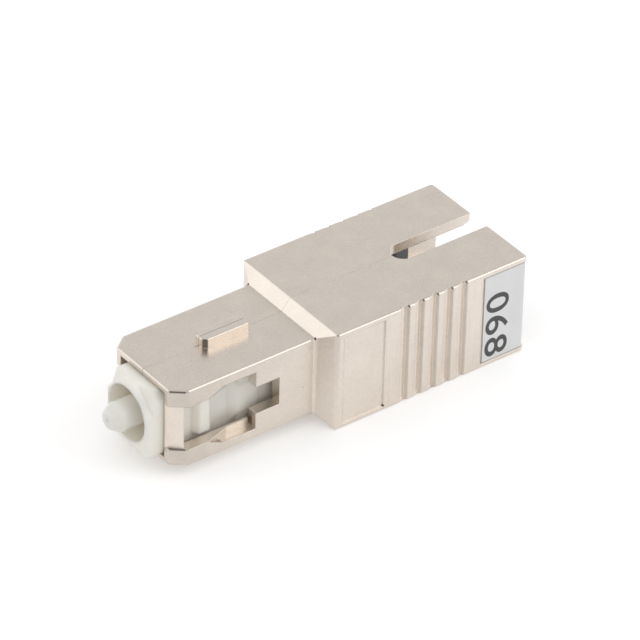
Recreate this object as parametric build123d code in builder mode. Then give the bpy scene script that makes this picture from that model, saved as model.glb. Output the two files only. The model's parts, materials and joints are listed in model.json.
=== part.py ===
import os
from build123d import *

# Driving sizes in millimetres. X runs from the plug to the socket and counts from the plug's front face.
# Y and Z count from the optical axis until the sections place them in the row frame.
SHELL_LENGTH = 33.35
PLUG_LENGTH = 13.46
PLUG_WIDTH = 9.0
PLUG_HEIGHT = 7.3
PLUG_WALL = 1.0
STEP_RUN = 0.86
BODY_WIDTH = 12.7
BODY_HEIGHT = 9.3
FERRULE_RADIUS = 1.25
FERRULE_REACH = 3.35
SOCKET_SHARE = 0.41979
SOCKET_WIDTH = 9.06
SOCKET_HEIGHT = 7.46
MOUTH_LEAD = 0.8
MOUTH_FLARE = 0.35
RELEASE_TRAVEL = 1.5

# Rounds and chamfers of the castings
EDGE_ROUND = 0.2
NOSE_CHAMFER_X = 1.25
NOSE_CHAMFER_Y = 1.0
PLAN_ROUND = 0.25
SHOULDER_ROUND = 0.5
FOOT_ROUND = 0.3
REAR_ROUND = 0.4
SEAM_DEPTH = 0.05

# Post, release window and its cams, from the plug's front face
POST_LENGTH = 1.05
POST_HEIGHT = 4.12
POST_SETBACK = 0.3
CAM_LEAD = 1.99
CAM_RAMP = 1.53
CAM_SLOPE = 2.4
CAM_LENGTH = 4.51
CAM_DROP = 0.75
CAM_GAP = 0.2
WINDOW_HEIGHT = 5.5
SLOT_LENGTH = 2.29
SLOT_HEIGHT = 2.6

# Key on the plug and keyway in the socket
KEY_START = 5.4
KEY_LENGTH = 4.4
KEY_WIDTH = 1.45
KEY_HEIGHT = 0.85
KEY_CHAMFER = 0.35
KEY_ROUND = 0.12
KEYWAY_LENGTH = 8.95
KEYWAY_WIDTH = 2.2
KEYWAY_ROUND = 0.35

# Rib that stops the core inside the housing
RIB_OFFSET = 0.14
RIB_THICKNESS = 1.7
NECK_PLAY = 0.2

# Grip on the sides of the body
PANEL_INSET = 0.63
PANEL_LENGTH = 4.08
PANEL_MARGIN = 0.45
PANEL_DEPTH = 0.12
GRIP_GAP = 2.28
GROOVE_PITCH = 1.44
GROOVE_COUNT = 5
GROOVE_SLOPE = 0.94
GROOVE_WALL = 0.1
GROOVE_DEPTH = 0.28

# Label and its pocket
POCKET_LENGTH = 4.5
POCKET_DEPTH = 0.17
POCKET_LIP = 0.425
LABEL_THICKNESS = 0.1
LABEL_FRONT_GAP = 0.2
LABEL_TOP_GAP = 0.12
LABEL_FOOT_GAP = 0.03
LABEL_WRAP = 75

# Locating pegs between the castings
PEG_RADIUS = 0.4
PEG_LENGTH = 1.0
PEG_PLAY = 0.03
PEG_INSET = 0.7

# Plug frame
FRAME_NOSE = 1.5
FRAME_WIDTH = 5.72
FRAME_HEIGHT = 6.06
FRAME_PLAY = 0.12
FRAME_ROUND = 0.5
NOSE_ROUND = 0.4
NOSE_CUT = 2.08
NOSE_CUT_LENGTH = 0.57
CORNER_CUT = 0.78
CORNER_RAMP = 0.48
BORE_DEPTH = 5.2
BORE_PLAY = 0.1
SHOULDER_WALL = 0.8
SHOULDER_PLAY = 0.06
CHAMBER_RADIUS = 2.05
COLLAR_LENGTH = 1.6
COLLAR_PLAY = 0.1
EAR_SPARE = 0.1
EAR_RAMP_LENGTH = 0.45
EAR_LENGTH = 1.0
EAR_HEIGHT = 4.0
HOLLOW_LEAD = 0.45
HOLLOW_LENGTH = 2.6
HOLLOW_DEPTH = 0.32
BOSS_LENGTH = 1.95
BOSS_RISE = 0.06
BOSS_SLOPE = 0.8
BOSS_LOW = -1.9
BOSS_HIGH = 0.7

# Ferrule, flange, fibre and spring
TIP_LENGTH = 0.85
TIP_RADIUS = 0.75
TIP_ROUND = 0.3
TIP_BASE_ROUND = 0.6
FIBRE_RADIUS = 0.0625
FIBRE_PLAY = 0.0075
FLANGE_LENGTH = 1.85
FLANGE_PLAY = 0.15
FLANGE_GAP = 0.05
FLANGE_CHAMFER = 0.25
BOND_GAP = 0.01
SPRING_WIRE = 0.18
SPRING_PLAY = 0.19
SPRING_TURNS = 4

# Spring seat, sleeve and latch body
SPIGOT_LENGTH = 3.1
SPIGOT_RADIUS = 2.38
SPIGOT_PLAY = 0.02
NECK_WIDTH = 5.8
NECK_HEIGHT = 5.4
MOULDING_ROUND = 0.4
SLEEVE_LENGTH = 11.4
SLEEVE_WALL = 0.32
SLEEVE_FIT = 0.03
SLEEVE_SLIT = 0.4
SLEEVE_PLAY = 0.04
SLEEVE_END_PLAY = 0.05
TRAVEL_SPARE = 0.2
LATCH_REACH = 1.25
LATCH_PLAY = 0.13
BARREL_RADIUS = 2.35
BARREL_LIP = 0.8
BARREL_CHAMFER = 0.3
ENTRY_PLAY = 0.23
ENTRY_CHAMFER = 0.25
ARM_ROOT = 2.4
ARM_SEAT = 0.2
ARM_THICKNESS = 0.75
ARM_HEIGHT = 3.5
ARM_BITE = 0.4
ARM_BEVEL = 0.2
ARM_FLEX = 0.65
ARM_PLAY = 0.35
CLAW_PLAY = 0.05
CLAW_DEPTH = 0.7
CLAW_FLAT = 0.75
CLAW_LENGTH = 2.55

# Places and fits derived from the driving sizes
X_FRONT = (FERRULE_REACH - SHELL_LENGTH) / 2
Z_AXIS = BODY_HEIGHT / 2
PLUG_Y = PLUG_WIDTH / 2
PLUG_TOP = PLUG_HEIGHT / 2
BODY_Y = BODY_WIDTH / 2
BODY_TOP = BODY_HEIGHT / 2
BODY_START = PLUG_LENGTH + STEP_RUN
PLUG_BAR_END = PLUG_LENGTH - FOOT_ROUND
CAVITY_Y = PLUG_Y - PLUG_WALL
CAVITY_WIDTH = 2 * CAVITY_Y
MOUTH_WIDTH = FRAME_WIDTH + 2 * FRAME_PLAY
MOUTH_HEIGHT = FRAME_HEIGHT + 2 * FRAME_PLAY
SOCKET_DEPTH = SHELL_LENGTH * SOCKET_SHARE
OPTICAL_PLANE = SHELL_LENGTH - SOCKET_DEPTH

CAM_START = POST_LENGTH + CAM_LEAD
CAM_FULL = CAM_START + CAM_RAMP
CAM_FLAT = CAM_START + CAM_SLOPE
CAM_END = CAM_START + CAM_LENGTH
WINDOW_END = CAM_END + CAM_GAP
SLOT_END = WINDOW_END + SLOT_LENGTH
KEYWAY_START = SHELL_LENGTH - KEYWAY_LENGTH

RIB_START = PLUG_LENGTH + RIB_OFFSET
RIB_END = RIB_START + RIB_THICKNESS
RIB_WIDTH = NECK_WIDTH + 2 * NECK_PLAY
RIB_HEIGHT = NECK_HEIGHT + 2 * NECK_PLAY
PEG_X = RIB_END - PEG_INSET
PEG_Z = (RIB_HEIGHT / 2 + BODY_TOP) / 2

PANEL_START = BODY_START + PANEL_INSET
PANEL_END = PANEL_START + PANEL_LENGTH
PANEL_HEIGHT = BODY_HEIGHT - 2 * PANEL_MARGIN
GROOVE_FIRST = PANEL_END + GRIP_GAP
POCKET_START = SHELL_LENGTH - POCKET_LENGTH
POCKET_HEIGHT = BODY_HEIGHT - 2 * POCKET_LIP
POCKET_Y = -BODY_Y + POCKET_DEPTH
LABEL_START = POCKET_START + LABEL_FRONT_GAP
REAR_CORNER = (SHELL_LENGTH - REAR_ROUND, -BODY_Y + REAR_ROUND)

COLLAR_END = RIB_START - COLLAR_PLAY
COLLAR_START = COLLAR_END - COLLAR_LENGTH
COLLAR_WIDTH = CAVITY_WIDTH - 2 * COLLAR_PLAY
COLLAR_HEIGHT = MOUTH_HEIGHT - 2 * COLLAR_PLAY
FRAME_Y = FRAME_WIDTH / 2
FRAME_TOP = FRAME_HEIGHT / 2
NOSE_FLAT_END = NOSE_CUT_LENGTH - FRAME_NOSE
CORNER_FLAT_START = NOSE_FLAT_END + CORNER_RAMP
EAR_RAMP = POST_LENGTH + RELEASE_TRAVEL + EAR_SPARE
EAR_START = EAR_RAMP + EAR_RAMP_LENGTH
EAR_END = EAR_START + EAR_LENGTH
EAR_Y = CAVITY_Y - COLLAR_PLAY
HOLLOW_START = EAR_END + HOLLOW_LEAD
HOLLOW_END = HOLLOW_START + HOLLOW_LENGTH
HOLLOW_Y = FRAME_Y - HOLLOW_DEPTH
BOSS_Y = FRAME_Y + BOSS_RISE
BOSS_END = HOLLOW_END + BOSS_LENGTH

FRAME_BORE = BARREL_RADIUS + BORE_PLAY
FRAME_BORE_END = BORE_DEPTH - FRAME_NOSE
SHOULDER_BORE = FERRULE_RADIUS + SHOULDER_PLAY
CHAMBER_START = FRAME_BORE_END + SHOULDER_WALL
CHAMBER_END = COLLAR_END - SPIGOT_LENGTH
FLANGE_START = CHAMBER_START + FLANGE_GAP
FLANGE_END = FLANGE_START + FLANGE_LENGTH
FLANGE_RADIUS = CHAMBER_RADIUS - FLANGE_PLAY
SPRING_RADIUS = CHAMBER_RADIUS - SPRING_PLAY - SPRING_WIRE
SPRING_START = FLANGE_END + SPRING_WIRE + FLANGE_GAP
SPRING_RUN = CHAMBER_END - SPRING_WIRE - FLANGE_GAP - SPRING_START

SLEEVE_INNER = FERRULE_RADIUS + SLEEVE_FIT
SLEEVE_OUTER = SLEEVE_INNER + SLEEVE_WALL
SLEEVE_SEAT = SLEEVE_OUTER + SLEEVE_PLAY
SLEEVE_START = OPTICAL_PLANE - SLEEVE_LENGTH / 2
SLEEVE_END = OPTICAL_PLANE + SLEEVE_LENGTH / 2
SEAT_END = RIB_END + RELEASE_TRAVEL + TRAVEL_SPARE
LATCH_END = OPTICAL_PLANE + LATCH_REACH
LATCH_WIDTH = SOCKET_WIDTH - 2 * LATCH_PLAY
LATCH_HEIGHT = SOCKET_HEIGHT - 2 * LATCH_PLAY
BARREL_END = SLEEVE_END + BARREL_LIP
ENTRY_RADIUS = FERRULE_RADIUS + ENTRY_PLAY
ARM_START = LATCH_END - ARM_ROOT
ARM_INNER = LATCH_WIDTH / 2 - ARM_SEAT
ARM_OUTER = ARM_INNER + ARM_THICKNESS
CLAW_START = OPTICAL_PLANE + FERRULE_REACH + EAR_END + CLAW_PLAY
CLAW_INNER = ARM_INNER - CLAW_DEPTH
ARM_END = CLAW_START + CLAW_LENGTH
RELIEF_WIDTH = 2 * (ARM_OUTER + ARM_FLEX)
RELIEF_HEIGHT = ARM_HEIGHT + 2 * ARM_PLAY
RELIEF_START = ARM_START - RELEASE_TRAVEL - 2 * TRAVEL_SPARE

LOW = Align.MIN
MID = Align.CENTER
TOP = Align.MAX


def section(x):
    """Plane across the axis at x, drawn in Y and Z, facing the socket."""
    return Plane(origin=(X_FRONT + x, 0, Z_AXIS), x_dir=(0, 1, 0), z_dir=(1, 0, 0))


def level(z):
    """Plane at height z above the axis, drawn in X and Y, facing up."""
    return Plane(origin=(X_FRONT, 0, Z_AXIS + z), x_dir=(1, 0, 0), z_dir=(0, 0, 1))


def flank(y):
    """Plane along the side at y, drawn in X and Z, facing the near side."""
    return Plane(origin=(X_FRONT, y, Z_AXIS), x_dir=(1, 0, 0), z_dir=(0, -1, 0))


def frame_outline(cut):
    """Cross section of the plug frame with its two upper corners cut off."""
    outline = Polygon(
        (-FRAME_Y, -FRAME_TOP),
        (FRAME_Y, -FRAME_TOP),
        (FRAME_Y, FRAME_TOP - cut),
        (FRAME_Y - cut, FRAME_TOP),
        (-FRAME_Y + cut, FRAME_TOP),
        (-FRAME_Y, FRAME_TOP - cut),
        align=None,
    )
    fillet(outline.vertices(), FRAME_ROUND)


def on_seam(edge):
    """Whether an edge lies in the seam plane between the castings."""
    return abs(edge.center().Y) < 0.01


def at_section(edge, x):
    """Whether an edge lies in the section at x."""
    return abs(edge.center().X - X_FRONT - x) < 0.01


os.makedirs("parts", exist_ok=True)

# Release window in one side wall, with the cams left standing at its upper and lower edges
with BuildPart() as window:
    with BuildSketch(flank(-CAVITY_Y + 0.2)):
        with BuildLine():
            Polyline(
                (CAM_START, -POST_HEIGHT / 2),
                (CAM_FULL, -WINDOW_HEIGHT / 2),
                (WINDOW_END, -WINDOW_HEIGHT / 2),
                (WINDOW_END, WINDOW_HEIGHT / 2),
                (CAM_FULL, WINDOW_HEIGHT / 2),
                (CAM_START, POST_HEIGHT / 2),
                close=True,
            )
        make_face()
    extrude(amount=PLUG_Y - CAVITY_Y + 0.6)
    with BuildSketch(level(-WINDOW_HEIGHT)):
        with BuildLine():
            Polyline(
                (CAM_START, -PLUG_Y),
                (CAM_FLAT, -PLUG_Y + CAM_DROP),
                (CAM_END, -PLUG_Y + CAM_DROP),
                (CAM_END, 0),
                (WINDOW_END, 0),
                (WINDOW_END, -PLUG_Y - 1),
                (CAM_START, -PLUG_Y - 1),
                close=True,
            )
        make_face()
    extrude(amount=2 * WINDOW_HEIGHT, mode=Mode.INTERSECT)
    with BuildSketch(flank(-CAVITY_Y + 0.2)):
        with Locations((POST_LENGTH, 0)):
            Rectangle(WINDOW_END - POST_LENGTH, POST_HEIGHT, align=(LOW, MID))
        with Locations((WINDOW_END - 1, 0)):
            Rectangle(SLOT_END - WINDOW_END + 1, SLOT_HEIGHT, align=(LOW, MID))
    extrude(amount=PLUG_Y - CAVITY_Y + 0.6)

# Bars with rounded rims that the plug and the body are trimmed to
with BuildPart() as plug_bar:
    with BuildSketch(level(-PLUG_TOP)) as plug_plan:
        with BuildLine():
            Polyline(
                (0, 0),
                (0, -PLUG_Y + NOSE_CHAMFER_Y),
                (NOSE_CHAMFER_X, -PLUG_Y),
                (PLUG_BAR_END, -PLUG_Y),
                (PLUG_BAR_END, 0),
                close=True,
            )
        make_face()
        fillet(plug_plan.vertices().filter_by(lambda v: v.Y < -1 and v.X < PLUG_BAR_END - 0.01), PLAN_ROUND)
    extrude(amount=PLUG_HEIGHT)
    rim_edges = plug_bar.faces().filter_by(Axis.Z).edges()
    fillet(rim_edges.filter_by(lambda e: not on_seam(e) and not at_section(e, PLUG_BAR_END)), EDGE_ROUND)
with BuildPart() as body_bar:
    with BuildSketch(level(-BODY_TOP)) as body_plan:
        with Locations((BODY_START, 0)):
            Rectangle(SHELL_LENGTH - BODY_START, BODY_Y, align=(LOW, TOP))
        fillet(body_plan.vertices().group_by(Axis.X)[-1].sort_by(Axis.Y)[0], REAR_ROUND)
    extrude(amount=BODY_HEIGHT)
    rim_edges = body_bar.faces().filter_by(Axis.Z).edges()
    fillet(rim_edges.filter_by(lambda e: not on_seam(e) and not at_section(e, BODY_START)), EDGE_ROUND)
with BuildPart() as rims:
    add(plug_bar.part)
    add(body_bar.part)
    with BuildSketch(section(PLUG_BAR_END)):
        Rectangle(BODY_Y, BODY_HEIGHT, align=(TOP, MID))
    extrude(amount=BODY_START - PLUG_BAR_END)

# What both castings have in common, drawn on the near side of the seam
with BuildPart() as half:
    with BuildSketch(level(-BODY_TOP)) as plan:
        with BuildLine():
            Polyline(
                (0, 0),
                (0, -PLUG_Y + NOSE_CHAMFER_Y),
                (NOSE_CHAMFER_X, -PLUG_Y),
                (PLUG_LENGTH, -PLUG_Y),
                (BODY_START, -BODY_Y),
                (SHELL_LENGTH, -BODY_Y),
                (SHELL_LENGTH, 0),
                close=True,
            )
        make_face()
        fillet(plan.vertices().filter_by(lambda v: abs(v.X - PLUG_LENGTH) < 0.01), FOOT_ROUND)
        fillet(plan.vertices().filter_by(lambda v: abs(v.X - BODY_START) < 0.01), SHOULDER_ROUND)
    extrude(amount=BODY_HEIGHT)
    with BuildSketch(flank(0)):
        with BuildLine():
            Polyline(
                (0, -PLUG_TOP),
                (PLUG_LENGTH, -PLUG_TOP),
                (BODY_START, -BODY_TOP),
                (SHELL_LENGTH, -BODY_TOP),
                (SHELL_LENGTH, BODY_TOP),
                (BODY_START, BODY_TOP),
                (PLUG_LENGTH, PLUG_TOP),
                (0, PLUG_TOP),
                close=True,
            )
        make_face()
    extrude(amount=BODY_WIDTH, mode=Mode.INTERSECT)
    add(rims.part, mode=Mode.INTERSECT)

    # Post between the rails, set back from them
    with BuildSketch(level(-POST_HEIGHT / 2)):
        with BuildLine():
            Polyline(
                (-1, -PLUG_Y + NOSE_CHAMFER_Y + POST_SETBACK),
                (0, -PLUG_Y + NOSE_CHAMFER_Y + POST_SETBACK),
                (POST_LENGTH, -PLUG_Y + POST_SETBACK),
                (POST_LENGTH, -PLUG_Y - 1),
                (-1, -PLUG_Y - 1),
                close=True,
            )
        make_face()
    extrude(amount=POST_HEIGHT, mode=Mode.SUBTRACT)
    add(window.part, mode=Mode.SUBTRACT)

    # Cavities along the axis
    with BuildSketch(section(0)):
        Rectangle(MOUTH_WIDTH, MOUTH_HEIGHT)
    extrude(amount=RIB_START, mode=Mode.SUBTRACT)
    with BuildSketch(section(POST_LENGTH)):
        Rectangle(CAVITY_WIDTH, MOUTH_HEIGHT)
    extrude(amount=RIB_START - POST_LENGTH, mode=Mode.SUBTRACT)
    with BuildSketch(section(RIB_START)):
        Rectangle(RIB_WIDTH, RIB_HEIGHT)
    extrude(amount=RIB_END - RIB_START, mode=Mode.SUBTRACT)
    with BuildSketch(section(RIB_END)):
        Rectangle(SOCKET_WIDTH, SOCKET_HEIGHT)
    extrude(amount=SHELL_LENGTH - RIB_END, mode=Mode.SUBTRACT)
    with BuildSketch(section(SHELL_LENGTH - MOUTH_LEAD)):
        Rectangle(SOCKET_WIDTH, SOCKET_HEIGHT)
    with BuildSketch(section(SHELL_LENGTH)):
        Rectangle(SOCKET_WIDTH + 2 * MOUTH_FLARE, SOCKET_HEIGHT + 2 * MOUTH_FLARE)
    loft(ruled=True, mode=Mode.SUBTRACT)
    with BuildSketch(section(RELIEF_START)):
        Rectangle(RELIEF_WIDTH, RELIEF_HEIGHT)
    extrude(amount=SHELL_LENGTH - RELIEF_START, mode=Mode.SUBTRACT)

    # Keyway in the top wall of the socket
    with BuildSketch(level(SOCKET_HEIGHT / 2 - 0.1)):
        with Locations((KEYWAY_START + KEYWAY_WIDTH / 2, 0)):
            Circle(KEYWAY_WIDTH / 2)
            Rectangle(SHELL_LENGTH - KEYWAY_START, KEYWAY_WIDTH, align=(LOW, MID))
        with Locations((SHELL_LENGTH - KEYWAY_ROUND, -KEYWAY_WIDTH / 2)):
            Rectangle(2 * KEYWAY_ROUND, KEYWAY_ROUND, align=(LOW, TOP))
        with Locations((SHELL_LENGTH - KEYWAY_ROUND, -KEYWAY_WIDTH / 2 - KEYWAY_ROUND)):
            Circle(KEYWAY_ROUND, mode=Mode.SUBTRACT)
    extrude(amount=BODY_TOP, mode=Mode.SUBTRACT)

    # Seam line where the two castings meet
    with BuildSketch(section(-0.5)):
        with Locations((0, PLUG_TOP), (0, -PLUG_TOP)):
            Rectangle(SEAM_DEPTH, SEAM_DEPTH, rotation=45)
    extrude(amount=PLUG_LENGTH + 0.5, mode=Mode.SUBTRACT)
    with BuildSketch(section(BODY_START)):
        with Locations((0, BODY_TOP), (0, -BODY_TOP)):
            Rectangle(SEAM_DEPTH, SEAM_DEPTH, rotation=45)
    extrude(amount=SHELL_LENGTH - BODY_START, mode=Mode.SUBTRACT)

    # Shallow panel and saw-tooth grip on the outer side
    with BuildSketch(flank(-BODY_Y + PANEL_DEPTH)):
        with Locations(((PANEL_START + PANEL_END) / 2, 0)):
            Rectangle(PANEL_END - PANEL_START, PANEL_HEIGHT)
    extrude(amount=1, mode=Mode.SUBTRACT)
    with BuildSketch(level(-BODY_TOP - 0.5)):
        with Locations([(GROOVE_FIRST + i * GROOVE_PITCH, -BODY_Y) for i in range(GROOVE_COUNT)]):
            Polygon(
                (-GROOVE_SLOPE, 0),
                (-GROOVE_SLOPE, -0.5),
                (GROOVE_WALL, -0.5),
                (GROOVE_WALL, 0),
                (0, GROOVE_DEPTH),
                align=None,
            )
    extrude(amount=BODY_HEIGHT + 1, mode=Mode.SUBTRACT)

# Key with rounded top edges
with BuildPart() as key:
    with BuildSketch(level(PLUG_TOP)):
        with Locations((KEY_START, 0)):
            key_outline = Rectangle(KEY_LENGTH, KEY_WIDTH, align=(LOW, MID))
        chamfer(key_outline.vertices().group_by(Axis.X)[0], KEY_CHAMFER)
    extrude(amount=KEY_HEIGHT)
    fillet(key.edges().filter_by(Axis.Z), KEY_ROUND)
    fillet(key.faces().sort_by(Axis.Z)[-1].edges(), KEY_ROUND)

# Near casting with the key, the label pocket and the locating pegs
with BuildPart() as housing_near_half:
    add(half.part)
    add(key.part)
    with BuildSketch(level(-POCKET_HEIGHT / 2)):
        with BuildLine():
            floor_line = Line((POCKET_START, POCKET_Y), (REAR_CORNER[0], POCKET_Y))
            floor_arc = CenterArc(REAR_CORNER, REAR_ROUND - POCKET_DEPTH, -90, 90)
            open_arc = CenterArc(REAR_CORNER, REAR_ROUND + 0.4, 0, -90)
            Line(floor_arc @ 1, open_arc @ 0)
            open_line = Line(open_arc @ 1, (POCKET_START, -BODY_Y - 0.4))
            Line(open_line @ 1, floor_line @ 0)
        make_face()
    extrude(amount=POCKET_HEIGHT, mode=Mode.SUBTRACT)
    with BuildSketch(flank(0)):
        with Locations((PEG_X, PEG_Z), (PEG_X, -PEG_Z)):
            Circle(PEG_RADIUS)
    extrude(amount=-PEG_LENGTH)
housing_near_half.part.label = "housing_near_half"
export_step(housing_near_half.part, "parts/housing_near_half.step")

# Far casting with the peg holes
with BuildPart() as housing_far_half:
    add(mirror(half.part, about=Plane.XZ))
    with BuildSketch(flank(0)):
        with Locations((PEG_X, PEG_Z), (PEG_X, -PEG_Z)):
            Circle(PEG_RADIUS + PEG_PLAY)
    extrude(amount=-PEG_LENGTH - PEG_PLAY, mode=Mode.SUBTRACT)
housing_far_half.part.label = "housing_far_half"
export_step(housing_far_half.part, "parts/housing_far_half.step")

# Label in the pocket, carried round the rear corner
with BuildPart() as label:
    with BuildSketch(level(-POCKET_HEIGHT / 2 + LABEL_FOOT_GAP)):
        with BuildLine():
            back = REAR_ROUND - POCKET_DEPTH
            back_line = Line((LABEL_START, POCKET_Y), (REAR_CORNER[0], POCKET_Y))
            back_arc = CenterArc(REAR_CORNER, back, -90, LABEL_WRAP)
            face_arc = CenterArc(REAR_CORNER, back + LABEL_THICKNESS, LABEL_WRAP - 90, -LABEL_WRAP)
            Line(back_arc @ 1, face_arc @ 0)
            face_line = Line(face_arc @ 1, (LABEL_START, POCKET_Y - LABEL_THICKNESS))
            Line(face_line @ 1, back_line @ 0)
        make_face()
    extrude(amount=POCKET_HEIGHT - LABEL_FOOT_GAP - LABEL_TOP_GAP)
label.part.label = "label"
export_step(label.part, "parts/label.step")

# Boss that stands on one side of the plug frame, with sloping flanks
with BuildPart() as boss:
    with BuildSketch(level(-FRAME_TOP)):
        with BuildLine():
            Polyline(
                (HOLLOW_END - BOSS_SLOPE, 0),
                (HOLLOW_END - BOSS_SLOPE, -HOLLOW_Y),
                (HOLLOW_END, -BOSS_Y),
                (BOSS_END, -BOSS_Y),
                (BOSS_END, 0),
                close=True,
            )
        make_face()
    extrude(amount=FRAME_HEIGHT)
    with BuildSketch(section(HOLLOW_END - BOSS_SLOPE)):
        with BuildLine():
            Polyline(
                (0, BOSS_LOW - BOSS_SLOPE),
                (-HOLLOW_Y, BOSS_LOW - BOSS_SLOPE),
                (-BOSS_Y, BOSS_LOW),
                (-BOSS_Y, BOSS_HIGH),
                (-HOLLOW_Y, BOSS_HIGH + BOSS_SLOPE),
                (0, BOSS_HIGH + BOSS_SLOPE),
                close=True,
            )
        make_face()
    extrude(amount=BOSS_LENGTH + BOSS_SLOPE, mode=Mode.INTERSECT)

# Plug frame with the nose, the side ears and the rear collar
with BuildPart() as plug_frame:
    with BuildSketch(section(-FRAME_NOSE)):
        frame_outline(NOSE_CUT)
    extrude(amount=NOSE_FLAT_END + FRAME_NOSE)
    with BuildSketch(section(NOSE_FLAT_END)):
        frame_outline(NOSE_CUT)
    with BuildSketch(section(CORNER_FLAT_START)):
        frame_outline(CORNER_CUT)
    loft(ruled=True)
    with BuildSketch(section(CORNER_FLAT_START)):
        frame_outline(CORNER_CUT)
    extrude(amount=COLLAR_END - CORNER_FLAT_START)
    fillet(plug_frame.faces().sort_by(Axis.X)[0].edges(), NOSE_ROUND)

    # Waist behind the ears
    for sign in (1, -1):
        with BuildSketch(level(-FRAME_HEIGHT)):
            with Locations((HOLLOW_START, sign * FRAME_Y)):
                Rectangle(HOLLOW_LENGTH, 2 * HOLLOW_DEPTH, align=(LOW, MID))
        extrude(amount=2 * FRAME_HEIGHT, mode=Mode.SUBTRACT)

    # Ears and bosses on both sides
    with BuildSketch(level(-EAR_HEIGHT / 2)):
        with BuildLine():
            Polyline(
                (EAR_RAMP, 0),
                (EAR_RAMP, FRAME_Y - SPIGOT_PLAY),
                (EAR_START, EAR_Y),
                (EAR_END, EAR_Y),
                (EAR_END, -EAR_Y),
                (EAR_START, -EAR_Y),
                (EAR_RAMP, -FRAME_Y + SPIGOT_PLAY),
                close=True,
            )
        make_face()
    extrude(amount=EAR_HEIGHT)
    add(boss.part)
    add(mirror(boss.part, about=Plane.XZ))
    with BuildSketch(section(COLLAR_START)):
        Rectangle(COLLAR_WIDTH, COLLAR_HEIGHT)
    extrude(amount=COLLAR_END - COLLAR_START)

    # Stepped bore for the ferrule, the flange with its spring, and the spring seat
    with BuildSketch(section(-FRAME_NOSE)):
        Circle(FRAME_BORE)
    extrude(amount=FRAME_NOSE + FRAME_BORE_END, mode=Mode.SUBTRACT)
    with BuildSketch(section(FRAME_BORE_END)):
        Circle(SHOULDER_BORE)
    extrude(amount=CHAMBER_START - FRAME_BORE_END, mode=Mode.SUBTRACT)
    with BuildSketch(section(CHAMBER_START)):
        Circle(CHAMBER_RADIUS)
    extrude(amount=COLLAR_END - CHAMBER_START, mode=Mode.SUBTRACT)
    with BuildSketch(section(CHAMBER_END)):
        Circle(SPIGOT_RADIUS + SPIGOT_PLAY)
    extrude(amount=COLLAR_END - CHAMBER_END, mode=Mode.SUBTRACT)
plug_frame.part.label = "plug_frame"
export_step(plug_frame.part, "parts/plug_frame.step")

# Ferrule with a tapered tip at both ends and the fine hole for the fibre
with BuildPart() as ferrule:
    with BuildSketch(Plane.XZ.shift_origin((X_FRONT, 0, Z_AXIS))) as profile:
        with BuildLine():
            Polyline(
                (-FERRULE_REACH, 0),
                (-FERRULE_REACH, TIP_RADIUS),
                (-FERRULE_REACH + TIP_LENGTH, FERRULE_RADIUS),
                (OPTICAL_PLANE - TIP_LENGTH, FERRULE_RADIUS),
                (OPTICAL_PLANE, TIP_RADIUS),
                (OPTICAL_PLANE, 0),
                close=True,
            )
        make_face()
        fillet(profile.vertices().filter_by(lambda v: v.X < 0 and abs(v.Y - TIP_RADIUS) < 0.01), TIP_ROUND)
        cone_base = profile.vertices().filter_by(lambda v: v.X < 0 and abs(v.Y - FERRULE_RADIUS) < 0.01)
        fillet(cone_base, TIP_BASE_ROUND)
    revolve(axis=Axis((X_FRONT, 0, Z_AXIS), (1, 0, 0)))
    with BuildSketch(section(-FERRULE_REACH)):
        Circle(FIBRE_RADIUS + FIBRE_PLAY)
    extrude(amount=FERRULE_REACH + OPTICAL_PLANE, mode=Mode.SUBTRACT)
ferrule.part.label = "ferrule"
export_step(ferrule.part, "parts/ferrule.step")

# Fibre along the whole ferrule
with BuildPart() as optical_fibre:
    with BuildSketch(section(-FERRULE_REACH)):
        Circle(FIBRE_RADIUS)
    extrude(amount=FERRULE_REACH + OPTICAL_PLANE)
optical_fibre.part.label = "optical_fibre"
export_step(optical_fibre.part, "parts/optical_fibre.step")

# Flange bonded on the ferrule behind the shoulder of the plug frame
with BuildPart() as ferrule_flange:
    with BuildSketch(section(FLANGE_START)):
        Circle(FLANGE_RADIUS)
        Circle(FERRULE_RADIUS + BOND_GAP, mode=Mode.SUBTRACT)
    extrude(amount=FLANGE_LENGTH)
    rim = ferrule_flange.edges().filter_by(GeomType.CIRCLE).group_by(Axis.X)[0].sort_by(SortBy.RADIUS)[-1]
    chamfer(rim, FLANGE_CHAMFER)
ferrule_flange.part.label = "ferrule_flange"
export_step(ferrule_flange.part, "parts/ferrule_flange.step")

# Coil spring between the flange and the spring seat
with BuildPart() as ferrule_spring:
    foot = (X_FRONT + SPRING_START, 0, Z_AXIS)
    with BuildLine() as coil:
        Helix(SPRING_RUN / SPRING_TURNS, SPRING_RUN, SPRING_RADIUS, center=foot, direction=(1, 0, 0))
    with BuildSketch(Plane(origin=coil.line @ 0, z_dir=coil.line % 0)):
        RegularPolygon(SPRING_WIRE, 6)
    sweep(path=coil.line, is_frenet=True)
ferrule_spring.part.label = "ferrule_spring"
export_step(ferrule_spring.part, "parts/ferrule_spring.step")

# Spring seat with its spigot in the plug frame and a neck through the rib of the housing
with BuildPart() as spring_seat:
    with BuildSketch(section(CHAMBER_END)):
        Circle(SPIGOT_RADIUS)
    extrude(amount=SEAT_END - CHAMBER_END)
    with BuildSketch(section(COLLAR_END)):
        Rectangle(NECK_WIDTH, NECK_HEIGHT)
    extrude(amount=SEAT_END - COLLAR_END)
    fillet(spring_seat.edges().filter_by(Axis.X).filter_by(GeomType.LINE), MOULDING_ROUND)
    with BuildSketch(section(CHAMBER_END)):
        Circle(SHOULDER_BORE)
    extrude(amount=SEAT_END - CHAMBER_END, mode=Mode.SUBTRACT)
    with BuildSketch(section(SLEEVE_START - SLEEVE_END_PLAY)):
        Circle(SLEEVE_SEAT)
    extrude(amount=SEAT_END - SLEEVE_START + SLEEVE_END_PLAY, mode=Mode.SUBTRACT)
spring_seat.part.label = "spring_seat"
export_step(spring_seat.part, "parts/spring_seat.step")

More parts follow.
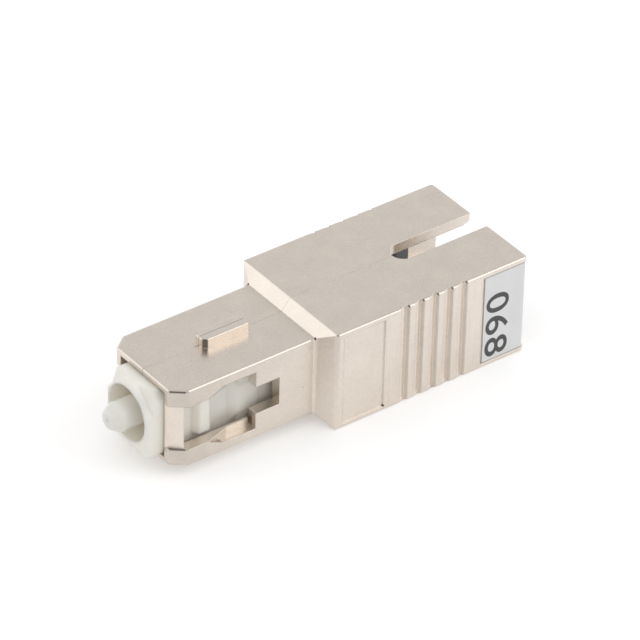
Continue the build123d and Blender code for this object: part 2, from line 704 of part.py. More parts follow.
# Split sleeve, slotted along its underside
with BuildPart() as split_sleeve:
    with BuildSketch(section(SLEEVE_START)):
        Circle(SLEEVE_OUTER)
        Circle(SLEEVE_INNER, mode=Mode.SUBTRACT)
        Rectangle(SLEEVE_SLIT, SLEEVE_OUTER + 1, align=(MID, TOP), mode=Mode.SUBTRACT)
    extrude(amount=SLEEVE_LENGTH)
split_sleeve.part.label = "split_sleeve"
export_step(split_sleeve.part, "parts/split_sleeve.step")

# Latch body with the sleeve barrel and the two hooks
with BuildPart() as latch_body:
    with BuildSketch(section(SEAT_END)):
        Rectangle(LATCH_WIDTH, LATCH_HEIGHT)
    extrude(amount=LATCH_END - SEAT_END)
    fillet(latch_body.edges().filter_by(Axis.X), MOULDING_ROUND)
    with BuildSketch(section(SEAT_END)):
        Circle(BARREL_RADIUS)
    extrude(amount=BARREL_END - SEAT_END)
    with BuildSketch(level(-ARM_HEIGHT / 2)):
        with BuildLine():
            Polyline(
                (ARM_START, ARM_INNER - ARM_BITE),
                (LATCH_END - ARM_BEVEL, ARM_INNER - ARM_BITE),
                (LATCH_END - ARM_BEVEL, ARM_INNER),
                (CLAW_START, ARM_INNER),
                (CLAW_START, CLAW_INNER),
                (CLAW_START + CLAW_FLAT, CLAW_INNER),
                (ARM_END, ARM_INNER),
                (ARM_END, ARM_OUTER - ARM_BEVEL),
                (ARM_END - ARM_BEVEL, ARM_OUTER),
                (ARM_START, ARM_OUTER),
                close=True,
            )
        make_face()
        mirror(about=Plane.XZ)
    extrude(amount=ARM_HEIGHT)
    with BuildSketch(section(SEAT_END)):
        Circle(SLEEVE_SEAT)
    extrude(amount=SLEEVE_END + SLEEVE_END_PLAY - SEAT_END, mode=Mode.SUBTRACT)
    with BuildSketch(section(SLEEVE_END)):
        Circle(ENTRY_RADIUS)
    extrude(amount=BARREL_END - SLEEVE_END, mode=Mode.SUBTRACT)
    entry = latch_body.edges().filter_by(GeomType.CIRCLE)
    entry = entry.filter_by(lambda e: abs(e.center().X - X_FRONT - BARREL_END) < 0.01).sort_by(SortBy.RADIUS)
    chamfer(entry[0], ENTRY_CHAMFER)
    chamfer(entry[-1], BARREL_CHAMFER)
latch_body.part.label = "latch_body"
export_step(latch_body.part, "parts/latch_body.step")
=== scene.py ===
import json
import math

import bmesh
import bpy
from mathutils import Matrix, Quaternion, Vector


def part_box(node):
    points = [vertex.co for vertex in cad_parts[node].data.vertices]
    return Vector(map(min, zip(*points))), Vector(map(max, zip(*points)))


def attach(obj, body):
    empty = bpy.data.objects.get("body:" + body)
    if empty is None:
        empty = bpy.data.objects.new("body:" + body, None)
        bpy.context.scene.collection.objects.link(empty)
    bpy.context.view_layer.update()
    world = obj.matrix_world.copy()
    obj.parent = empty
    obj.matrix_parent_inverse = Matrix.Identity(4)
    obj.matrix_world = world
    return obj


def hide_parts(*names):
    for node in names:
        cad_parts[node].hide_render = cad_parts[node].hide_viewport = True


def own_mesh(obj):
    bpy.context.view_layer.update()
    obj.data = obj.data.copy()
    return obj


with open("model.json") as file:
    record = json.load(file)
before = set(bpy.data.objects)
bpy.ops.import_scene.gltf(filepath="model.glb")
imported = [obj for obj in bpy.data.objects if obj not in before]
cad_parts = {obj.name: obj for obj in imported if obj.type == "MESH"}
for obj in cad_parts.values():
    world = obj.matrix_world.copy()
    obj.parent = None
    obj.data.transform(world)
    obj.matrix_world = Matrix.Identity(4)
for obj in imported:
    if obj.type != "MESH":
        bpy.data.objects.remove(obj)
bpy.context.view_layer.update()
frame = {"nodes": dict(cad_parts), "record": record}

MM = 0.001
NODES, RECORD = frame["nodes"], frame["record"]
SHELL_LOW, SHELL_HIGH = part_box("housing_near_half")
LABEL_LOW, LABEL_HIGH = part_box("label")

# Camera, fitted to the photograph: angles in degrees, lens and sensor in millimetres, the rest in metres
AZIMUTH, ELEVATION, ROLL = -37.429, 35.784, 1.486
AIM = Vector((0, 0, 4.65 * MM))
DISTANCE = 0.429029
RIGHT_OFFSET, UP_OFFSET = 1.889 * MM, 1.746 * MM
LENS, SENSOR = 302.655, 36.0
CLIP_START, CLIP_END = 0.01, 10

# Sky: strength low down and overhead, where 1 is white, and the sines of the heights where that changes
SKY_LIGHT, SKY_LIGHT_RISE = (0.58, 0.9), (0.0, 0.9)
SKY_SEEN, SKY_SEEN_RISE = (1.0, 0.72), (0.15, 0.75)

# Floor in metres: its size, grey and glow, and the distances toward the front between which the glow fades
# in reflections, as painted shade
FLOOR_HALF, FLOOR_LEVEL, FLOOR_GREY = 1.5, -0.02 * MM, 0.9
FLOOR_GLOW, FLOOR_FRONT_GLOW = 0.265, 0.0
FLOOR_FRONT, FLOOR_FADE = (-0.64, -0.77, 0), (9 * MM, 16 * MM)

# Lamps in metres, each with its direction from the object and its radiance, where 1 is white
LAMP_DISTANCE, LAMP_SIDE = 0.6, 0.4
LAMPS = {"key_back_left": ((-0.65, 0.645, 0.45), 0.52), "fill_right": ((0.6, -0.6, 0.65), 1.3)}

# Dark card in metres, with its direction from the object and its grey
CARD_TOWARD, CARD_DISTANCE = (-0.60, -0.74, 0.19), 0.6
CARD_WIDTH, CARD_HEIGHT, CARD_GREY = 0.6, 0.17, 0.03

# Corners of a flat piece in order, and how many times light is followed from surface to surface
CORNER_SIGNS = ((-1, -1), (1, -1), (1, 1), (-1, 1))
DIFFUSE_BOUNCES, ALL_BOUNCES = 12, 16

# Colours, linear
NICKEL = (0.75, 0.677, 0.605)
FRAME_WHITE = (0.94, 0.895, 0.815)
LATCH_GREY = (0.055, 0.058, 0.061)
ZIRCONIA = (0.81, 0.796, 0.75)
INNER_WHITE = (0.80, 0.79, 0.76)
LABEL_WHITE = (0.775, 0.778, 0.78)
INK = (0.06, 0.06, 0.058)
FLANGE_METAL = (0.70, 0.66, 0.60)
SPRING_STEEL = (0.58, 0.57, 0.56)
GLASS = (0.9, 0.92, 0.93)

# Noises: cells a millimetre, detail and roughness. The grip's lines have their own cells along X, Y and Z.
NICKEL_GRAIN, NICKEL_MOTTLE, NICKEL_CLOUDS = (11.0, 2.0, 0.6), (3.4, 2.0, 0.6), (0.55, 3.0, 0.5)
GRIP_LINES, GRIP_LINE_CELLS = (1.0, 2.0, 0.6), (5.0, 0.3, 0.12)
MOULDING_GRAIN, MOULDING_CLOUDS = (9.0, 2.0, 0.5), (0.5, 2.0, 0.5)
METAL_GRAIN = (14.0, 2.0, 0.5)
LABEL_GRAIN, LABEL_CLOUDS = (7.0, 3.0, 0.5), (0.6, 2.0, 0.5)
INK_GRAIN = (12.0, 2.0, 0.5)
GLASS_STREAKS = (20.0, 1.0, 0.5)

# Values between which a noise mostly lies
NOISE_LOW, NOISE_HIGH = 0.3, 0.7

# Shades: the factors by which a noise makes a colour darker and lighter
GRAIN_SHADES, MOTTLE_SHADES, CLOUD_SHADES = (0.955, 1.035), (0.975, 1.025), (0.965, 1.02)
GRIP_LINE_SHADES = (0.97, 1.03)
MOULDING_SHADES, METAL_SHADES = (0.97, 1.02), (0.95, 1.03)
LABEL_SHADES, INK_SHADES, GLASS_SHADES = (0.975, 1.02), (0.85, 1.25), (0.98, 1.0)

# Roughness: its limits, what the posts add to it, and how far it varies from a material's own
NICKEL_ROUGHNESS, CAST_ROUGHNESS = (0.26, 0.36), 0.14
MOULDING_VARIES, METAL_VARIES = 0.05, 0.06
LABEL_ROUGHNESS, INK_ROUGHNESS, GLASS_ROUGHNESS = (0.32, 0.44), 0.5, 0.05

# Glass: how much of it is clear, and its refractive index
GLASS_CLEARNESS, GLASS_IOR = 0.2, 1.46

# Bumps: depth in millimetres and strength
CLOUD_BUMP, MOTTLE_BUMP, GRAIN_BUMP = (0.006, 1.0), (0.004, 0.8), (0.006, 0.55)
MOULDING_BUMP, LABEL_BUMP = (0.003, 0.6), (0.002, 0.5)

# Radii in millimetres by which sharp edges are shaded as round, and the rays that look for an edge
METAL_EDGE, SEAM_EDGE, GROOVE_EDGE, MOULDING_EDGE = 0.12, 0.05, 0.3, 0.3
EDGE_SAMPLES = 6

# How far light goes into the mouldings in millimetres, and the share of that for red, green and blue
LIGHT_REACH, LIGHT_REACH_SHARES = 0.9, (1.0, 0.95, 0.85)

# Places on the metal in millimetres, from the plug's front face, the body's side and the optical axis.
# A band is its middle and half its width. Points are given for one side and mirrored to the other.
FRONT, SIDE, AXIS = SHELL_LOW.x / MM, -SHELL_LOW.y / MM, (SHELL_LOW.z + SHELL_HIGH.z) / 2 / MM
# The posts are left rougher and lightened with a painted reflection
POST_X, POST_Z = (FRONT + 0.5, 0.6), (AXIS, 2.04)
# The key's slanted front corners are darkened with a painted reflection
KEY_X, KEY_Z, KEY_FLAT = (FRONT + 5.4, 0.34), (AXIS + 4.07, 0.39), 0.40
# Lines along the plug's slanted front corners carry painted dark reflections: height and half width
CORNER_X, PAINTED_DARK_LINES = (FRONT + 0.58, 0.48), ((AXIS + 3.5, 0.06), (AXIS - 2.1, 0.04))
GRIP_X, GRIP_Z = (FRONT + 23.94, 4.85), (AXIS, 4.5)
STEP_X = FRONT + 13.89
GROOVE_FIRST, GROOVE_PITCH, GROOVE_COUNT = FRONT + 21.31, 1.44, 5
GROOVE_WALLS = [GROOVE_FIRST + GROOVE_PITCH * index for index in range(GROOVE_COUNT)]
# Points of painted shade at the tops of the grooves, the corners of the step and the corner of the side
# panel
GROOVE_TOP = (SIDE - 0.05, AXIS + 4.59)
STEP_CORNERS = ((FRONT + 14.32, SIDE - 0.02, AXIS + 4.61), (FRONT + 13.46, SIDE - 1.85, AXIS + 3.63))
PANEL_CORNER = (FRONT + 19.03, SIDE - 0.05, AXIS - 4.19)

# Strips beside the wall of a groove in millimetres, where light and shade are painted: their distance from
# it and half their width
SLOPE_STRIP, WALL_STRIP = (-0.27, 0.21), (0.06, 0.06)

# Soft edges of bands in millimetres
SOFT, FINE = 0.05, 0.03

# Millimetres from the seam, the step's middle or the label's edges between which a mark changes
SEAM_SPAN, SEAM_EDGE_SPAN, OUTSIDE_SPAN = (0.02, 0.05), (0.15, 0.3), (SIDE - 0.55, SIDE - 0.45)
STEP_SPAN = (0.387, 0.473)
LABEL_EDGE_SPAN = (0.012, 0.02)

# Spots of painted shade: radius in millimetres, and the multiple of it at which they have faded
GROOVE_SPOT, CORNER_SPOT, SPOT_FADE = 0.11, 0.09, 1.5

# Pits: cells a millimetre, the part of a cell over which a pit fades, and the share of cells without one
PIT_CELLS, PIT_SPAN, PIT_RARITY = 0.42, (0.02, 0.04), 0.88

# Shades of the marks, as factors; those of the spots, posts, key, lines, slopes and walls are painted light
# and shade
PIT_SHADE, SEAM_SHADE, CREASE_PAINTED_SHADE = 0.7, 0.55, 0.15
POST_PAINTED_LIGHT, KEY_SHADE, PAINTED_LINE_SHADE = 1.3, 0.32, 0.3
# Painted light on the groove slopes and painted shade on the groove walls
SLOPE_PAINTED_LIGHT, WALL_PAINTED_SHADE = 1.2, 0.8
# Painted shade along the label's front and top edge
LABEL_EDGE_SHADE = 0.9

# Number on the label: sizes and place in millimetres, spacing and stretch as factors
NUMBER, NUMBER_SIZE, NUMBER_SPACING, NUMBER_STRETCH = "068", 3.2, 1.06, 1.25
NUMBER_BOLD, NUMBER_HALF_DEPTH = 0.02, 0.006
NUMBER_FROM_FRONT, NUMBER_FROM_TOP = 0.28, 1.85

# Spring: the wire's radius in millimetres, turns of the coil, steps in a turn and sides of the wire
SPRING_WIRE, SPRING_TURNS, SPRING_STEPS, SPRING_SIDES = 0.175, 4, 24, 8


def set_inputs(tree, node, inputs):
    """Gives the inputs of a node plain values, or links them to other nodes."""
    for name, value in inputs.items():
        if isinstance(value, bpy.types.NodeSocket):
            tree.links.new(value, node.inputs[name])
        else:
            node.inputs[name].default_value = value


def add_node(tree, kind, inputs, operation=None, data_type=None):
    """A new node, whose inputs are given plain values or linked to other nodes."""
    node = tree.nodes.new(kind)
    if operation:
        node.operation = operation
    if data_type:
        node.data_type = data_type
    set_inputs(tree, node, inputs)
    return node


def new_material(name):
    """A principled material with its tree, its shader and coordinates in millimetres."""
    material = bpy.data.materials.new(name)
    material.use_nodes = True
    tree = material.node_tree
    coordinates = add_node(tree, "ShaderNodeTexCoord", {})
    inputs = {0: coordinates.outputs["Object"], "Scale": 1 / MM}
    scale = add_node(tree, "ShaderNodeVectorMath", inputs, "SCALE")
    return material, tree, tree.nodes["Principled BSDF"], scale.outputs[0]


def maths(tree, operation, *values):
    """The result of one operation on values."""
    return add_node(tree, "ShaderNodeMath", dict(enumerate(values)), operation).outputs[0]


def largest(tree, *values):
    """The largest of several values, which is 1 where any mask is 1."""
    result = values[0]
    for value in values[1:]:
        result = maths(tree, "MAXIMUM", result, value)
    return result


def product(tree, *values):
    """The product of several values, which is 1 where all masks are 1."""
    result = values[0]
    for value in values[1:]:
        result = maths(tree, "MULTIPLY", result, value)
    return result


def ranged(tree, value, low, high, start=NOISE_LOW, end=NOISE_HIGH):
    """A value spread between two limits as another goes from start to end."""
    inputs = {"Value": value, "From Min": start, "From Max": end, "To Min": low, "To Max": high}
    return add_node(tree, "ShaderNodeMapRange", inputs).outputs["Result"]


def mixed(tree, factor, one, other):
    """One value where the factor is 0, and the other where it is 1."""
    inputs = {"Factor": factor, "A": one, "B": other}
    return add_node(tree, "ShaderNodeMix", inputs, data_type="FLOAT").outputs["Result"]


def noise(tree, place, cells, detail, roughness):
    """Noise of so many cells a millimetre."""
    inputs = {"Vector": place, "Scale": cells, "Detail": detail, "Roughness": roughness}
    return add_node(tree, "ShaderNodeTexNoise", inputs).outputs["Fac"]


def stretched(tree, place, factors):
    """Coordinates scaled by a factor on each axis."""
    return add_node(tree, "ShaderNodeVectorMath", {0: place, 1: factors}, "MULTIPLY").outputs[0]


def shaded(tree, value, colour, dark, light):
    """A colour made darker or lighter by a value from 0 to 1."""
    inputs = {"Factor": value, "A": [c * dark for c in colour] + [1], "B": [c * light for c in colour] + [1]}
    return add_node(tree, "ShaderNodeMix", inputs, data_type="RGBA").outputs["Result"]


def multiplied(tree, colour, value):
    """A colour times a grey value."""
    return add_node(tree, "ShaderNodeVectorMath", {0: colour, "Scale": value}, "SCALE").outputs[0]


def marked(tree, colour, mask, shade):
    """A colour made darker or lighter where a mask is 1."""
    return multiplied(tree, colour, ranged(tree, mask, 1.0, shade, 0, 1))


def broken_edges(tree, radius):
    """A normal that rounds the sharp edges of a piece by a radius in metres."""
    node = add_node(tree, "ShaderNodeBevel", {"Radius": radius})
    node.samples = EDGE_SAMPLES
    return node.outputs["Normal"]


def bumped(tree, height, depth, strength, below=None):
    """A bump of so many millimetres, over another normal if given."""
    inputs = {"Height": height, "Distance": depth * MM, "Strength": strength}
    if below is not None:
        inputs["Normal"] = below
    return add_node(tree, "ShaderNodeBump", inputs).outputs["Normal"]


def along(tree, place, axis, centre=0.0):
    """Distance in millimetres from a plane across one axis, without its sign."""
    split = add_node(tree, "ShaderNodeSeparateXYZ", {0: place})
    return maths(tree, "ABSOLUTE", maths(tree, "SUBTRACT", split.outputs[axis], centre))


def band(tree, place, axis, centre, half, soft=SOFT):
    """1 within so many millimetres of a plane across one axis, and 0 beyond."""
    return ranged(tree, along(tree, place, axis, centre), 1.0, 0.0, half, half + soft)


def near(tree, place, point, radius):
    """1 within so many millimetres of a point, and 0 beyond."""
    away = add_node(tree, "ShaderNodeVectorMath", {0: place, 1: point}, "DISTANCE")
    return ranged(tree, away.outputs["Value"], 1.0, 0.0, radius, SPOT_FADE * radius)


def pits(tree, place):
    """A value of 1 that drops at a few small dark pits of the casting."""
    cells = add_node(tree, "ShaderNodeTexVoronoi", {"Vector": place, "Scale": PIT_CELLS})
    pit = ranged(tree, cells.outputs["Distance"], PIT_SHADE, 1.0, *PIT_SPAN)
    chance = add_node(tree, "ShaderNodeSeparateColor", {0: cells.outputs["Color"]})
    spared = maths(tree, "LESS_THAN", chance.outputs["Red"], PIT_RARITY)
    return largest(tree, pit, spared)


def seam(tree, place):
    """A value of 1 that drops along the joint of the two castings, but not on the step."""
    joint = ranged(tree, along(tree, place, "Y"), SEAM_SHADE, 1.0, *SEAM_SPAN)
    step = ranged(tree, along(tree, place, "X", STEP_X), 1.0, 0.0, *STEP_SPAN)
    return largest(tree, joint, step)


def posts(tree, place):
    """1 on the posts before the windows, which are left rougher and lightened with a painted reflection."""
    return product(tree, band(tree, place, "X", *POST_X), band(tree, place, "Z", *POST_Z))


def key_end_painted_dark(tree, place):
    """1 on the slanted front corners of the key, which are darkened with a painted reflection."""
    slant = ranged(tree, band(tree, place, "Y", 0, KEY_FLAT), 1, 0, 0, 1)
    return product(tree, band(tree, place, "X", *KEY_X), band(tree, place, "Z", *KEY_Z, FINE), slant)


def painted_dark_line(tree, place, height, half):
    """1 on a line along the slanted front corners of the plug, where a dark reflection is painted."""
    return product(tree, band(tree, place, "X", *CORNER_X), band(tree, place, "Z", height, half, FINE))


def grip_zone(tree, place):
    """1 along the grooved part of the body, but not at its top and bottom faces."""
    return product(tree, band(tree, place, "X", *GRIP_X), band(tree, place, "Z", *GRIP_Z))


def grip_lines(tree, place, grip):
    """A value near 1 that varies in fine upright lines on the grip."""
    lines = noise(tree, stretched(tree, place, GRIP_LINE_CELLS), *GRIP_LINES)
    lines = product(tree, ranged(tree, lines, -1, 1), grip)
    return ranged(tree, lines, *GRIP_LINE_SHADES, -1, 1)


def groove_strips(tree, place, offset, half):
    """1 on an upright strip beside the wall of each groove, on both sides of the body, where painted light
    and shade go.
    """
    strips = [band(tree, place, "X", wall + offset, half) for wall in GROOVE_WALLS]
    outside = ranged(tree, along(tree, place, "Y"), 0.0, 1.0, *OUTSIDE_SPAN)
    return product(tree, largest(tree, *strips), outside, band(tree, place, "Z", *GRIP_Z))


def painted_crease_shade(tree, place):
    """1 at spots of painted shade on top of the grooves and at the corners of the step and the side panel.
    """
    points = [(wall, *GROOVE_TOP, GROOVE_SPOT) for wall in GROOVE_WALLS]
    points.extend((*corner, CORNER_SPOT) for corner in (*STEP_CORNERS, PANEL_CORNER))
    spots = [near(tree, place, (x, side * y, z), radius) for x, y, z, radius in points for side in (-1, 1)]
    return largest(tree, *spots)


def nickel_colour(tree, place, noises, rough_posts_painted_light, grip):
    """Nickel with its grain and clouds, the pits and seam of the casting, and painted light and shade."""
    grain, mottle, clouds = noises
    colour = shaded(tree, ranged(tree, clouds, 0, 1), NICKEL, *CLOUD_SHADES)
    colour = multiplied(tree, colour, ranged(tree, grain, *GRAIN_SHADES))
    colour = multiplied(tree, colour, ranged(tree, mottle, *MOTTLE_SHADES))
    for value in (grip_lines(tree, place, grip), pits(tree, place), seam(tree, place)):
        colour = multiplied(tree, colour, value)
    # Painted light on the posts and groove slopes, and painted shade on the key's front corners, groove
    # walls and spots
    marks = [
        (rough_posts_painted_light, POST_PAINTED_LIGHT),
        (key_end_painted_dark(tree, place), KEY_SHADE),
        (groove_strips(tree, place, *SLOPE_STRIP), SLOPE_PAINTED_LIGHT),
        (groove_strips(tree, place, *WALL_STRIP), WALL_PAINTED_SHADE),
        (painted_crease_shade(tree, place), CREASE_PAINTED_SHADE),
    ]
    # Painted dark reflections along the plug's slanted front corners
    marks.extend((painted_dark_line(tree, place, *line), PAINTED_LINE_SHADE) for line in PAINTED_DARK_LINES)
    for mask, shade in marks:
        colour = marked(tree, colour, mask, shade)
    return colour


def nickel_normal(tree, place, noises, grip):
    """Edges shaded as round, less so at the seam and more so on the grip, under waves and grain."""
    grain, mottle, clouds = noises
    by_seam = ranged(tree, along(tree, place, "Y"), SEAM_EDGE * MM, METAL_EDGE * MM, *SEAM_EDGE_SPAN)
    radius = largest(tree, by_seam, ranged(tree, grip, 0, GROOVE_EDGE * MM, 0, 1))
    normal = bumped(tree, clouds, *CLOUD_BUMP, broken_edges(tree, radius))
    normal = bumped(tree, mottle, *MOTTLE_BUMP, normal)
    return bumped(tree, grain, *GRAIN_BUMP, normal)


def satin_nickel():
    """Satin nickel plate over a casting."""
    material, tree, shader, place = new_material("satin_nickel")
    noises = [noise(tree, place, *kind) for kind in (NICKEL_GRAIN, NICKEL_MOTTLE, NICKEL_CLOUDS)]
    # The posts' mask sets their rougher finish and their painted lighter reflection
    rough_posts_painted_light, grip = posts(tree, place), grip_zone(tree, place)
    smooth = ranged(tree, noises[0], *NICKEL_ROUGHNESS)
    set_inputs(tree, shader, {
        "Metallic": 1.0,
        "Base Color": nickel_colour(tree, place, noises, rough_posts_painted_light, grip),
        "Roughness": maths(tree, "MULTIPLY_ADD", rough_posts_painted_light, CAST_ROUGHNESS, smooth),
        "Normal": nickel_normal(tree, place, noises, grip),
    })
    return material


def moulding(name, colour, roughness, translucency):
    """Moulded plastic or ceramic with a soft gloss, which may let light through."""
    material, tree, shader, place = new_material(name)
    clouds, grain = noise(tree, place, *MOULDING_CLOUDS), noise(tree, place, *MOULDING_GRAIN)
    set_inputs(tree, shader, {
        "Base Color": shaded(tree, ranged(tree, clouds, 0, 1), colour, *MOULDING_SHADES),
        "Roughness": ranged(tree, grain, roughness - MOULDING_VARIES, roughness + MOULDING_VARIES),
        "Subsurface Weight": translucency,
        "Subsurface Radius": LIGHT_REACH_SHARES,
        "Subsurface Scale": LIGHT_REACH * MM,
        "Normal": bumped(tree, grain, *MOULDING_BUMP, broken_edges(tree, MOULDING_EDGE * MM)),
    })
    return material


def plain_metal(name, colour, roughness):
    """Turned or drawn metal with a fine grain."""
    material, tree, shader, place = new_material(name)
    grain = noise(tree, place, *METAL_GRAIN)
    set_inputs(tree, shader, {
        "Metallic": 1.0,
        "Base Color": shaded(tree, ranged(tree, grain, 0, 1), colour, *METAL_SHADES),
        "Roughness": ranged(tree, grain, roughness - METAL_VARIES, roughness + METAL_VARIES),
    })
    return material


def label_film():
    """White film with a faint grain and painted shade along its front and top edge."""
    material, tree, shader, place = new_material("label_film")
    grain, clouds = noise(tree, place, *LABEL_GRAIN), noise(tree, place, *LABEL_CLOUDS)
    colour = shaded(tree, ranged(tree, clouds, 0, 1), LABEL_WHITE, *LABEL_SHADES)
    # Painted shade along the front and top edge
    for axis, edge in (("X", LABEL_LOW.x), ("Z", LABEL_HIGH.z)):
        inward = along(tree, place, axis, edge / MM)
        colour = multiplied(tree, colour, ranged(tree, inward, LABEL_EDGE_SHADE, 1.0, *LABEL_EDGE_SPAN))
    set_inputs(tree, shader, {
        "Base Color": colour,
        "Roughness": ranged(tree, grain, *LABEL_ROUGHNESS),
        "Normal": bumped(tree, grain, *LABEL_BUMP),
    })
    return material


def label_ink():
    """Dark print, a little uneven."""
    material, tree, shader, place = new_material("label_ink")
    grain = noise(tree, place, *INK_GRAIN)
    set_inputs(tree, shader, {
        "Base Color": shaded(tree, ranged(tree, grain, 0, 1), INK, *INK_SHADES),
        "Roughness": INK_ROUGHNESS,
    })
    return material


def fibre_glass():
    """Pale glass of the fibre, which lets a little light through."""
    material, tree, shader, place = new_material("fibre_glass")
    set_inputs(tree, shader, {
        "Base Color": shaded(tree, noise(tree, place, *GLASS_STREAKS), GLASS, *GLASS_SHADES),
        "Roughness": GLASS_ROUGHNESS,
        "Transmission Weight": GLASS_CLEARNESS,
        "IOR": GLASS_IOR,
    })
    return material


MATERIALS = {
    "housing": satin_nickel(),
    "label": label_film(),
    "frame": moulding("frame_plastic", FRAME_WHITE, roughness=0.38, translucency=0.7),
    "inner_moulding": moulding("inner_plastic", INNER_WHITE, roughness=0.45, translucency=0.3),
    "latch": moulding("latch_plastic", LATCH_GREY, roughness=0.45, translucency=0.0),
    "ceramic": moulding("zirconia", ZIRCONIA, roughness=0.22, translucency=0.8),
    "flange": plain_metal("flange_metal", FLANGE_METAL, roughness=0.28),
    "fibre": fibre_glass(),
    "spring": plain_metal("spring_steel", SPRING_STEEL, roughness=0.3),
}

for part in RECORD["subparts"]:
    NODES[part["node"]].data.materials[0] = MATERIALS[part["material_slot"]]


def add_object(name, data):
    """A new object in the scene."""
    thing = bpy.data.objects.new(name, data)
    bpy.context.scene.collection.objects.link(thing)
    return thing


def add_quad(name, corners, material):
    """A flat four-sided object."""
    mesh = bpy.data.meshes.new(name)
    mesh.from_pydata(corners, [], [(0, 1, 2, 3)])
    mesh.materials.append(material)
    return add_object(name, mesh)


def number_mesh():
    """The label's number as a mesh on the film, read from the top down."""
    text = bpy.data.curves.new("label_number", "FONT")
    text.body = NUMBER
    text.size = NUMBER_SIZE * MM
    text.space_character = NUMBER_SPACING
    text.offset = NUMBER_BOLD * MM
    text.align_x = "LEFT"
    text.align_y = "BOTTOM_BASELINE"
    text.extrude = NUMBER_HALF_DEPTH * MM
    corner = Vector((LABEL_LOW.x, LABEL_LOW.y, LABEL_HIGH.z))
    place = corner + Vector((NUMBER_FROM_FRONT, -NUMBER_HALF_DEPTH, -NUMBER_FROM_TOP)) * MM
    down, right, out = Vector((0, 0, -1)), Vector((1, 0, 0)), Vector((0, -1, 0))
    turn = Matrix((down, right, out)).transposed().to_4x4()
    letters = add_object("label_number_text", text)
    letters.matrix_world = Matrix.Translation(place) @ turn @ Matrix.Diagonal((NUMBER_STRETCH, 1, 1, 1))
    bpy.context.view_layer.update()
    mesh = bpy.data.meshes.new_from_object(letters.evaluated_get(bpy.context.evaluated_depsgraph_get()))
    mesh.transform(letters.matrix_world)
    bpy.data.objects.remove(letters)
    return mesh


def label_number():
    """A plain number printed on the label."""
    mesh = number_mesh()
    mesh.materials.clear()
    mesh.materials.append(label_ink())
    number = add_object("label_number", mesh)
    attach(number, "shell")


def wire_ring(shape, centre, outward):
    """A ring of points round the spring's wire."""
    ring = []
    for side in range(SPRING_SIDES):
        angle = 2 * math.pi * side / SPRING_SIDES
        offset = outward * math.cos(angle) + Vector((1, 0, 0)) * math.sin(angle)
        ring.append(shape.verts.new(centre + offset * SPRING_WIRE * MM))
    return ring


def coil_mesh(low, high):
    """Round wire wound along X, as large as fits in a box."""
    middle, wire = (low + high) / 2, SPRING_WIRE * MM
    radius = (high.z - low.z) / 2 - wire
    start, run = low.x + wire, high.x - low.x - 2 * wire
    steps = SPRING_TURNS * SPRING_STEPS
    shape = bmesh.new()
    rings = []
    for step in range(steps + 1):
        turn = 2 * math.pi * step / SPRING_STEPS
        outward = Vector((0, math.cos(turn), math.sin(turn)))
        centre = Vector((start + run * step / steps, middle.y, middle.z)) + outward * radius
        rings.append(wire_ring(shape, centre, outward))
    for ring, after in zip(rings, rings[1:]):
        for side in range(SPRING_SIDES):
            other = (side + 1) % SPRING_SIDES
            shape.faces.new((ring[side], ring[other], after[other], after[side])).smooth = True
    shape.faces.new(rings[0])
    shape.faces.new(rings[-1])
    bmesh.ops.recalc_face_normals(shape, faces=shape.faces)
    mesh = bpy.data.meshes.new("spring_coil")
    shape.to_mesh(mesh)
    shape.free()
    return mesh


def spring_coil():
    """The coil behind the ferrule, drawn at one length in the box of the spring's piece, which is hidden;
    the real one shortens as the ferrule is pushed in.
    """
    low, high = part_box("ferrule_spring")
    mesh = coil_mesh(low, high)
    mesh.materials.append(MATERIALS["spring"])
    coil = add_object("spring_coil", mesh)
    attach(coil, "core")
    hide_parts("ferrule_spring")
    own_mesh(coil)


def seen_or_mirrored(tree):
    """1 for camera, mirror and glass rays, which see the white background."""
    path = add_node(tree, "ShaderNodeLightPath", {})
    rays = ("Is Camera Ray", "Is Glossy Ray", "Is Transmission Ray")
    return largest(tree, *(path.outputs[ray] for ray in rays))


def floor_glow(tree):
    """The floor's glow, even to the camera, and fading toward the front in mirror and glass rays, which is
    painted shade in the floor's reflections.
    """
    coordinates = add_node(tree, "ShaderNodeTexCoord", {})
    inputs = {0: coordinates.outputs["Object"], 1: FLOOR_FRONT}
    forward = add_node(tree, "ShaderNodeVectorMath", inputs, "DOT_PRODUCT")
    # Painted shade: in reflections the floor's glow fades out in front of the plug
    mirrored = ranged(tree, forward.outputs["Value"], FLOOR_GLOW, FLOOR_FRONT_GLOW, *FLOOR_FADE)
    path = add_node(tree, "ShaderNodeLightPath", {})
    glow = mixed(tree, path.outputs["Is Camera Ray"], mirrored, FLOOR_GLOW)
    return product(tree, seen_or_mirrored(tree), glow)


def floor():
    """Pale matt floor that takes the shadow, with a glow that makes it look white."""
    material = bpy.data.materials.new("floor_white")
    material.use_nodes = True
    tree = material.node_tree
    tree.nodes.clear()
    matt = add_node(tree, "ShaderNodeBsdfDiffuse", {"Color": (FLOOR_GREY, FLOOR_GREY, FLOOR_GREY, 1)})
    glow = add_node(tree, "ShaderNodeEmission", {"Strength": floor_glow(tree)})
    both = add_node(tree, "ShaderNodeAddShader", {0: matt.outputs[0], 1: glow.outputs[0]})
    add_node(tree, "ShaderNodeOutputMaterial", {"Surface": both.outputs[0]})
    corners = [(x * FLOOR_HALF, y * FLOOR_HALF, FLOOR_LEVEL) for x, y in CORNER_SIGNS]
    plane = add_quad("floor", corners, material)


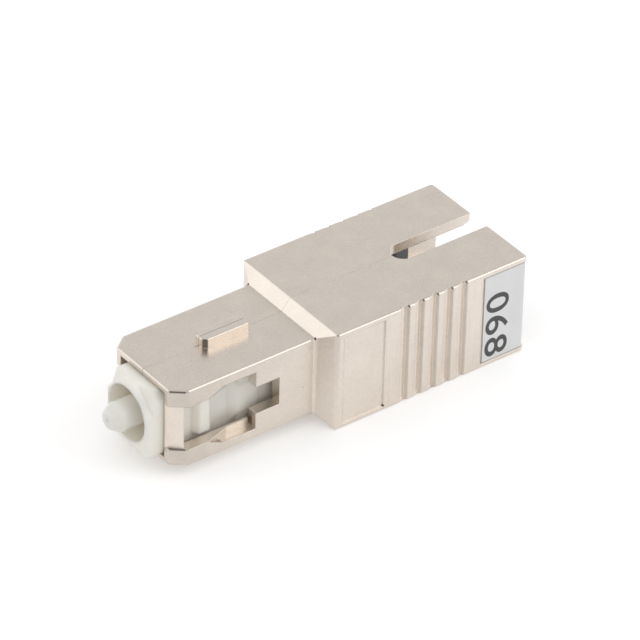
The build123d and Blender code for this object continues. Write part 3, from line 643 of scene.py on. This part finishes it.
def sky():
    """Even studio light, white to the eye and a little greyer overhead in reflections."""
    world = bpy.data.worlds.new("studio")
    bpy.context.scene.world = world
    world.use_nodes = True
    tree = world.node_tree
    coordinates = add_node(tree, "ShaderNodeTexCoord", {})
    split = add_node(tree, "ShaderNodeSeparateXYZ", {0: coordinates.outputs["Generated"]})
    light = ranged(tree, split.outputs["Z"], *SKY_LIGHT, *SKY_LIGHT_RISE)
    seen = ranged(tree, split.outputs["Z"], *SKY_SEEN, *SKY_SEEN_RISE)
    strength = mixed(tree, seen_or_mirrored(tree), light, seen)
    set_inputs(tree, tree.nodes["Background"], {"Color": (1, 1, 1, 1), "Strength": strength})


def softbox(name, toward, radiance):
    """A square lamp that faces the object from a direction, and isn't seen by the camera."""
    light = bpy.data.lights.new(name, "AREA")
    light.shape = "RECTANGLE"
    light.size = light.size_y = LAMP_SIDE
    light.energy = radiance * math.pi * LAMP_SIDE ** 2
    direction = Vector(toward).normalized()
    lamp = add_object(name, light)
    lamp.location = AIM + direction * LAMP_DISTANCE
    lamp.rotation_mode = "QUATERNION"
    lamp.rotation_quaternion = direction.to_track_quat("Z", "Y")
    lamp.visible_camera = False


def dark_card():
    """A low card before the plug, which darkens reflections and isn't seen by the camera."""
    material = bpy.data.materials.new("low_card")
    material.use_nodes = True
    shader = material.node_tree.nodes["Principled BSDF"]
    set_inputs(material.node_tree, shader, {
        "Base Color": (CARD_GREY, CARD_GREY, CARD_GREY, 1),
        "Roughness": 1.0,
        "Specular IOR Level": 0.0,
    })
    direction = Vector(CARD_TOWARD).normalized()
    turn = direction.to_track_quat("Z", "Y").to_matrix()
    centre = AIM + direction * CARD_DISTANCE
    half_width, half_height = CARD_WIDTH / 2, CARD_HEIGHT / 2
    corners = [centre + turn @ Vector((x * half_width, y * half_height, 0)) for x, y in CORNER_SIGNS]
    card = add_quad("low_card", corners, material)
    card.visible_camera = False
    card.visible_diffuse = False


def camera():
    """The photograph's view, moved sideways so that the lens needs no shift."""
    azimuth, elevation = math.radians(AZIMUTH), math.radians(ELEVATION)
    level = Vector((math.sin(azimuth), -math.cos(azimuth), 0))
    back = level * math.cos(elevation) + Vector((0, 0, math.sin(elevation)))
    turn = (-back).to_track_quat("-Z", "Y") @ Quaternion((0, 0, 1), math.radians(ROLL))
    data = bpy.data.cameras.new("camera")
    data.lens = LENS
    data.sensor_width = SENSOR
    data.clip_start = CLIP_START
    data.clip_end = CLIP_END
    eye = add_object("camera", data)
    eye.rotation_mode = "QUATERNION"
    eye.rotation_quaternion = turn
    eye.location = AIM + back * DISTANCE + turn @ Vector((RIGHT_OFFSET, UP_OFFSET, 0))
    bpy.context.scene.camera = eye


label_number()
spring_coil()
floor()
sky()
camera()
for lamp_name, (lamp_toward, lamp_radiance) in LAMPS.items():
    softbox(lamp_name, lamp_toward, lamp_radiance)
dark_card()

bpy.context.scene.cycles.diffuse_bounces = DIFFUSE_BOUNCES
bpy.context.scene.cycles.max_bounces = ALL_BOUNCES
bpy.context.scene.view_settings.view_transform = "Standard"
